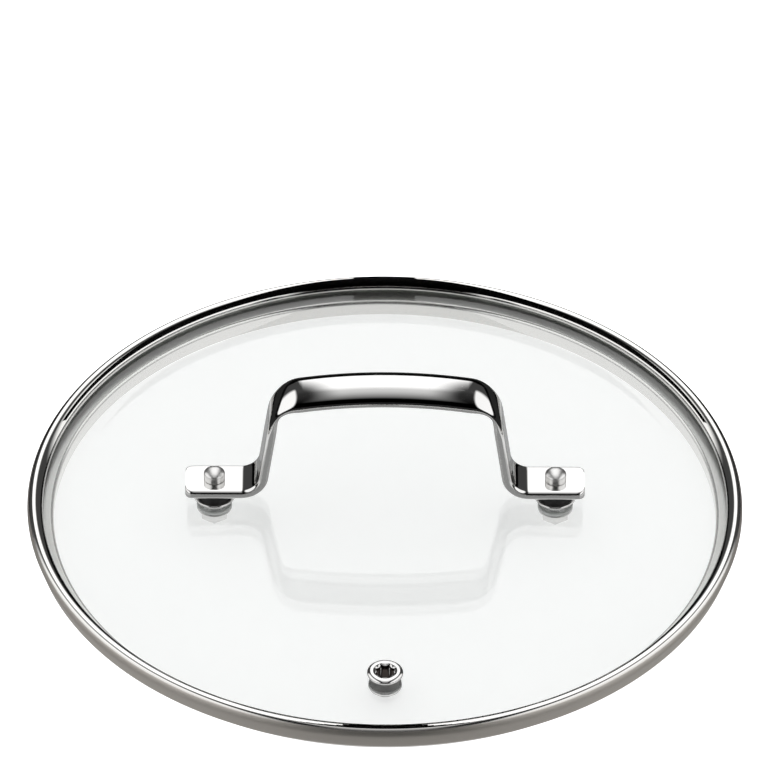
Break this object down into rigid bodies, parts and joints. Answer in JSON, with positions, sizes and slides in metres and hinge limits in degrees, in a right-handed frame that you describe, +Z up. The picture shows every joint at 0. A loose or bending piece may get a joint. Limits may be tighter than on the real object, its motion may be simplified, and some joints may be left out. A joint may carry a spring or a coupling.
{
  "type": "glass saucepan lid",
  "caption": "Round tempered glass saucepan lid with a folded stainless rim, a polished bow handle on silicone-padded studs, and a steam vent eyelet.",
  "frame": {"origin": "centre of the circle that the rim's folded foot stands on, at the lid's lowest level", "axes": "+Z up through the glass, +X along the bow handle, -Y towards the steam vent"},
  "size_m": [0.2004, 0.2004, 0.0531],
  "materials": {
    "tempered_glass": "clear, polished, faint green edge",
    "band_steel": "polished lip over a satin wall",
    "polished_steel": "mirror polished stainless steel",
    "silicone": "black, slightly satin"
  },
  "bodies": {
    "root": {"glass_disc": "tempered_glass", "rim_band": "band_steel", "rim_seal": "silicone", "bow_handle": "polished_steel", "stud_left": "polished_steel", "upper_pad_left": "silicone", "cup_washer_left": "polished_steel", "bush_left": "silicone", "lower_pad_left": "silicone", "lower_washer_left": "polished_steel", "cap_nut_left": "polished_steel", "stud_right": "polished_steel", "upper_pad_right": "silicone", "cup_washer_right": "polished_steel", "bush_right": "silicone", "lower_pad_right": "silicone", "lower_washer_right": "polished_steel", "cap_nut_right": "polished_steel", "vent_eyelet": "polished_steel", "vent_gasket": "silicone", "vent_washer": "polished_steel"}
  },
  "joints": []
}
